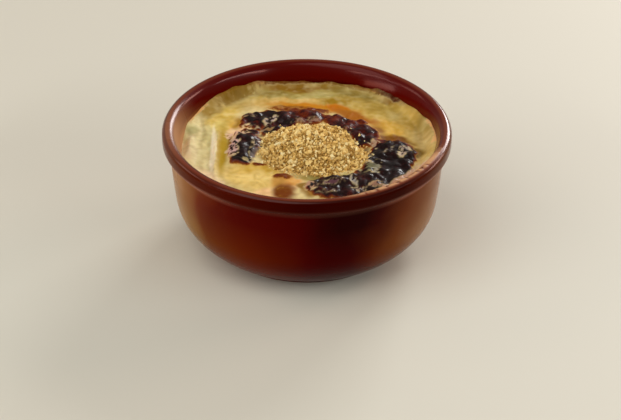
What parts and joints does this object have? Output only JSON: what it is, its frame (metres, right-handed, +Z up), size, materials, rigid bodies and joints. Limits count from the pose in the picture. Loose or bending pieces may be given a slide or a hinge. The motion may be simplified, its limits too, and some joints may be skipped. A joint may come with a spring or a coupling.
{
  "type": "baked rice pudding in an earthenware bowl",
  "caption": "Oven-baked rice pudding with a scorched skin and a heap of ground nuts, in a round glazed earthenware bowl with a rolled rim.",
  "frame": {"origin": "middle of the bowl's flat base, on the surface that it stands on", "axes": "+Z up along the bowl's axis, -Y towards the diner at the front, +X to the right"},
  "size_m": [0.12, 0.12, 0.052],
  "materials": {
    "bowl": "glossy red-brown glaze over red clay",
    "pudding": "baked milk skin, cream to golden, scorched dark brown round the middle",
    "nuts": "dry, matt, ground hazelnuts"
  },
  "bodies": {
    "root": {"bowl": "bowl", "pudding": "pudding", "nut_heap": "nuts"}
  },
  "joints": []
}
